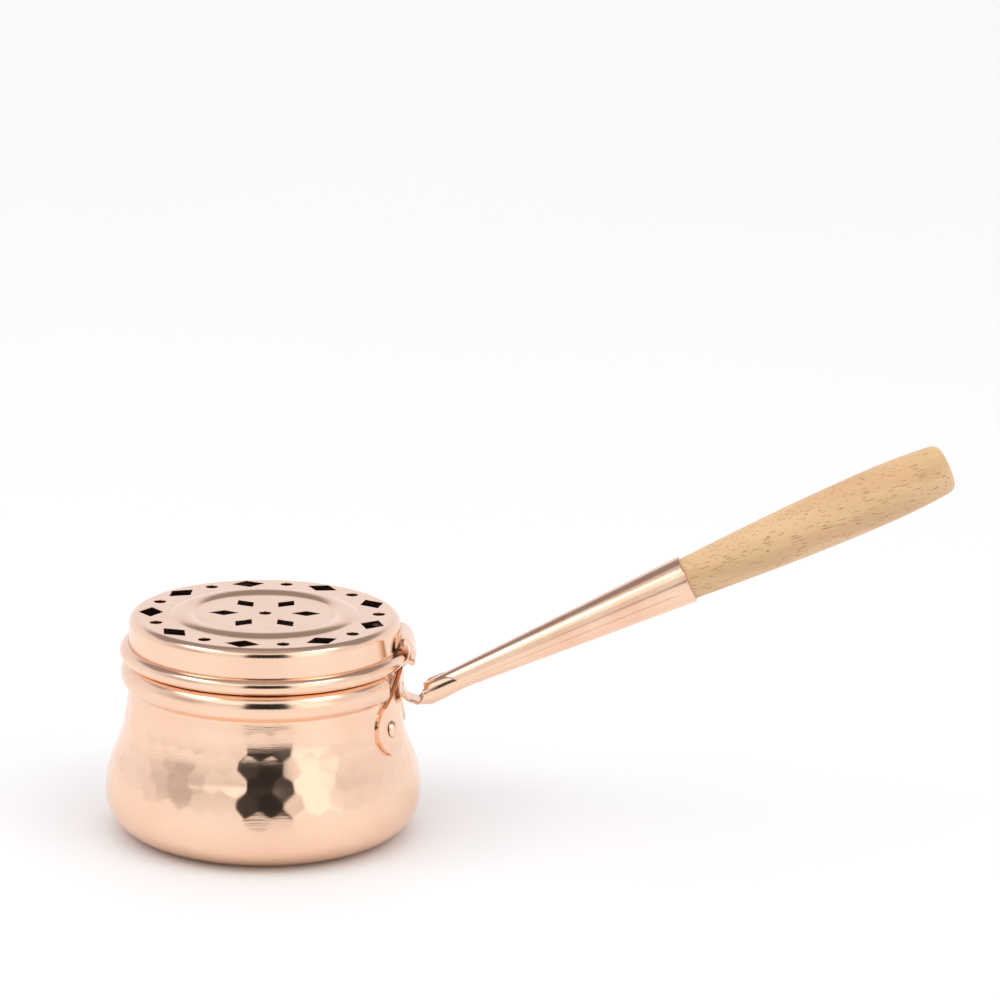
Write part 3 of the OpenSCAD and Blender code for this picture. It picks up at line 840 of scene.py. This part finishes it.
def strip_form():
    """The strip as a closed sheet with rounded edges."""
    form = bmesh.new()
    across = 28
    rings = []
    for point, up, bend, half, thick in strip_stations():
        ring = []
        for face in (0, 1):
            row = []
            for j in range(across + 1):
                t = 2 * j / across - 1
                edge = thick * 0.18 * smooth(abs(t), 0.86, 1)
                depth = thick - edge if face else edge
                reach = half * t
                if bend < 1e-4:
                    side, rise = reach, -depth
                else:
                    r = 1 / bend
                    side = (r + depth) * math.sin(reach * bend)
                    rise = r - (r + depth) * math.cos(reach * bend)
                row.append(form.verts.new(point + Vector((0, side, 0)) + up * rise))
            ring += row if face == 0 else row[::-1]
        rings.append(ring)
    count = len(rings[0])
    for first, second in zip(rings, rings[1:]):
        for i in range(count):
            j = (i + 1) % count
            form.faces.new((first[i], first[j], second[j], second[i]))
    form.faces.new(rings[0][::-1])
    form.faces.new(rings[-1])
    bmesh.ops.recalc_face_normals(form, faces=form.faces)
    return form


def make_strap():
    """The riveted strap: ears, web and lug from the frame, with a shaped neck strip."""
    form = form_of("handle_strap")
    strap = piece_of("neck_strap", form, (STRAP_COPPER,))
    box = bmesh.new()
    room = ((NECK_R - 1, 80, STRIP_HALF + 0.4, 30, STRIP_TOP_Z - 1.6),
            (STRIP_FACE_X + STRIP_BEND_R + 0.4, 81, 12, 29, 75))
    for x0, x1, half, z0, z1 in room:
        middle = Matrix.Translation(((x0 + x1) / 2, 0, (z0 + z1) / 2))
        bmesh.ops.create_cube(box, size=1, matrix=middle @ Matrix.Diagonal(
            (x1 - x0, 2 * half, z1 - z0, 1)))
    cutter = piece_of("strip_room", box, ())
    cut = strap.modifiers.new("room", "BOOLEAN")
    cut.object, cut.operation, cut.solver = cutter, "DIFFERENCE", "EXACT"
    cut.use_self = True
    settled(strap)
    bpy.data.objects.remove(cutter)
    crisp(strap, 35, 0.3)
    strip = piece_of("strip", strip_form(), (STRAP_COPPER,))
    crisp(strip)
    joined = bmesh.new()
    joined.from_mesh(strap.data)
    joined.from_mesh(strip.data)
    joined.to_mesh(strap.data)
    joined.free()
    bpy.data.objects.remove(strip)
    crisp(strap, 50)
    declare(strap, "burner", "polished_copper", "handle_strap")


def rivet_tree():
    """Sets one rivet on every point, facing the way the point's arrow goes."""
    tree, given = node_shape("Rivets", {"Rivet": "Object", "Material": "Material"})
    arrow = add(tree, "GeometryNodeInputNamedAttribute", {"data_type": "FLOAT_VECTOR"},
                {"Name": "arrow"})
    turn = add(tree, "FunctionNodeAlignRotationToVector", {"axis": "Z"}, {"Vector": arrow})
    rivet = add(tree, "GeometryNodeObjectInfo", None, {"Object": given["Rivet"]}, "Geometry")
    heads = add(tree, "GeometryNodeInstanceOnPoints", None,
                {"Points": given["Geometry"], "Instance": rivet, "Rotation": turn})
    end_shape(tree, heads, given["Material"])
    return tree


def make_rivets(name, places, outline, body, tree, nodes):
    """Rivets as one piece: places are (point, direction) pairs."""
    form = bmesh.new()
    turned(form, outline, 48)
    bmesh.ops.remove_doubles(form, verts=form.verts, dist=WELD)
    rivet = piece_of("One rivet", form, (STRAP_COPPER,))
    form = bmesh.new()
    arrow = form.verts.layers.float_vector.new("arrow")
    for point, direction in places:
        form.verts.new(point)[arrow] = direction
    piece = piece_of(name, form, (STRAP_COPPER,))
    worked(piece, tree, {"Rivet": rivet, "Material": STRAP_COPPER})
    bpy.data.objects.remove(rivet)
    crisp(piece)
    declare(piece, body, "polished_copper", *nodes)


def ear_places():
    """Points on the pot's face at the two strap rivets, and the directions out of it."""
    ear_z = WAIST_Z - EAR_DROP
    lean = math.asin((WAIST_Z - ear_z) / HOLLOW_R)
    ear_x = NECK_R + HOLLOW_R - HOLLOW_R * math.cos(lean)
    places = []
    for side in (-1, 1):
        a = math.radians(side * EAR_A)
        out = Vector((math.cos(a) * math.cos(lean), math.sin(a) * math.cos(lean), math.sin(lean)))
        places.append((Vector((ear_x * math.cos(a), ear_x * math.sin(a), ear_z)), out))
    return places


def make_small_parts():
    """The strap, the lid's tongue and the strap's rivets."""
    make_strap()
    softened("lid_tongue", "hinge_tongue", "lid", "polished_copper", LID_COPPER, 0.25)
    tree = rivet_tree()
    seat = RIVET_SEAT
    dome_r = ((RIVET_HEAD_D / 2) ** 2 + RIVET_HEAD_H ** 2) / (2 * RIVET_HEAD_H)
    half = math.degrees(math.asin(RIVET_HEAD_D / 2 / dome_r))
    dome = arc((0, seat + RIVET_HEAD_H - dome_r), dome_r, 90 - half, 90, 14)
    dome[-1] = (0, dome[-1][1])
    rivet = ([(0, -2.6), (2.1, -2.6), (2.1, -2.0), (1.5, -1.9), (1.5, seat), (2.6, seat),
              (RIVET_HEAD_D / 2, seat + 0.1)] + dome[1:])
    make_rivets("strap_rivets", ear_places(), rivet, "burner", tree,
                ("strap_rivet_front", "strap_rivet_rear"))


# ---------------------------------------------------------------- nodes that stay
def dress_nodes():
    """Gives every CAD node that stays its finish."""
    finishes = {"iron_wire": IRON, "tinned_copper": TINNED, "polished_copper": STRAP_COPPER,
                "hammered_copper": POT_COPPER, "turned_beech": BEECH}
    for part in frame["record"]["subparts"]:
        node = frame["nodes"][part["node"]]
        node.data.materials.clear()
        node.data.materials.append(finishes[part["material_slot"]])
    frame["nodes"]["hinge_pin"].data.materials[0] = PIN_COPPER


# ---------------------------------------------------------------- studio
FLOOR_R = 7.0            # in metres, as all the studio's lengths
FLOOR_WHITE = (0.88, 0.88, 0.88)
FLOOR_SHADE = (0.87, 0.87, 0.87)
OVERHEAD = 1.45
OVERHEAD_SPREAD = math.radians(80)
CAMERA_WHITE = (0.97, 0.97, 0.97)   # the surround as the lens sees it
DIM = (0.02, 0.02, 0.02)            # the dim stretch in front


def make_floor():
    """A wide pale floor."""
    form = bmesh.new()
    bmesh.ops.create_circle(form, cap_ends=True, segments=96, radius=FLOOR_R / MM)
    material, tree, shader, place = finish_tree("Pale floor")
    soft = noise(place, 0.004, 2)
    put(shader, "Base Color", mix(soft, FLOOR_WHITE, FLOOR_SHADE))
    put(shader, "Roughness", 0.6)
    floor = piece_of("Floor", form, (material,))


def soft_box(name, place, aim, size, power):
    """A square area light that points at aim. Lengths in metres."""
    light = bpy.data.lights.new(name, "AREA")
    light.shape = "RECTANGLE"
    light.size, light.size_y = size
    light.energy = power
    lamp = bpy.data.objects.new(name, light)
    lamp.location = place
    lamp.rotation_euler = (Vector(aim) - Vector(place)).to_track_quat("-Z", "Y").to_euler()
    bpy.context.scene.collection.objects.link(lamp)


def make_overhead():
    """One very wide overhead panel, which lights the floor evenly."""
    light = bpy.data.lights.new("Overhead panel", "SUN")
    light.energy = OVERHEAD
    light.angle = OVERHEAD_SPREAD
    panel = bpy.data.objects.new("Overhead panel", light)
    panel.visible_glossy = False
    bpy.context.scene.collection.objects.link(panel)


def make_surround():
    """A white surround with one dim stretch in front, which the polished copper shows."""
    world = bpy.data.worlds.new("Studio")
    world.use_nodes = True
    tree = world.node_tree
    way = add(tree, "ShaderNodeTexCoord", out="Generated")
    parts = add(tree, "ShaderNodeSeparateXYZ", None, {"Vector": way})
    x, y, z = parts, parts.other("Y"), parts.other("Z")
    turn = x.math("ARCTAN2", x, y * -1)
    across = turn.step(math.radians(-14), math.radians(-11)) * (
        1 - turn.step(math.radians(22), math.radians(26)))
    dim = across * (1 - z.step(0.6, 0.75))
    high = z.step(0.42, 0.6) * y.step(0.0, 0.2)
    top = z.step(0.80, 0.90)
    band = z.step(0.42, 0.55) * (1 - z.step(0.72, 0.82)) * (1 - y.step(-0.4, -0.1))
    seen = add(tree, "ShaderNodeLightPath", out="Is Camera Ray")
    front = mix(z.step(0.0, 0.45), (1.0, 1.0, 1.0), (0.84, 0.84, 0.85))
    bright = turn.step(math.radians(27), math.radians(34)) * (
        1 - turn.step(math.radians(52), math.radians(66)))
    front = mix(bright, front, (1.35, 1.33, 1.3))
    shaded = (1 - turn.step(math.radians(-58), math.radians(-40))) * z.step(0.02, 0.2)
    front = mix(shaded, front, (0.6, 0.58, 0.6))
    around = mix(z.step(0.0, 0.45), (0.98, 0.98, 1.03), (0.90, 0.90, 0.95))
    glow = mix(y.step(-0.55, 0.25), front, around)
    glow = mix(band, glow, (1.3, 1.3, 1.3))
    glow = mix(top, glow, (0.5, 0.47, 0.47))
    glow = mix(high, glow, (0.34, 0.32, 0.34))
    glow = mix(dim, glow, DIM)
    glow = mix(seen, glow, CAMERA_WHITE)
    tree.links.new(glow.source, tree.nodes["Background"].inputs["Color"])
    bpy.context.scene.world = world


CAMERA_AIM = Vector((0.0729, 0, 0.1083))
CAMERA_AWAY = 1.05       # from the aim, in metres
CAMERA_UP = math.radians(13.53)
CAMERA_ROLL = math.radians(1.42)
CAMERA_LENS = 121.3


def make_camera():
    """A long lens a little above the pot, in front of it."""
    data = bpy.data.cameras.new("Camera")
    data.lens = CAMERA_LENS
    data.sensor_width = 36
    camera = bpy.data.objects.new("Camera", data)
    away = Vector((0, -math.cos(CAMERA_UP), math.sin(CAMERA_UP))) * CAMERA_AWAY
    camera.matrix_world = (Matrix.Translation(CAMERA_AIM + away)
                           @ Matrix.Rotation(math.pi / 2 - CAMERA_UP, 4, "X")
                           @ Matrix.Rotation(CAMERA_ROLL, 4, "Z"))
    bpy.context.scene.collection.objects.link(camera)
    bpy.context.scene.camera = camera


make_pot()
make_lid()
make_socket()
make_grip()
make_small_parts()
dress_nodes()

make_floor()
soft_box("Left softbox", (-0.62, -0.28, 0.82), (0, 0, 0.04), (0.5, 0.3), 0.95)
soft_box("Right softbox", (0.60, -0.30, 0.80), (0, 0, 0.05), (0.38, 0.3), 0.7)
make_overhead()
make_surround()
make_camera()
bpy.context.scene.view_settings.view_transform = "Standard"
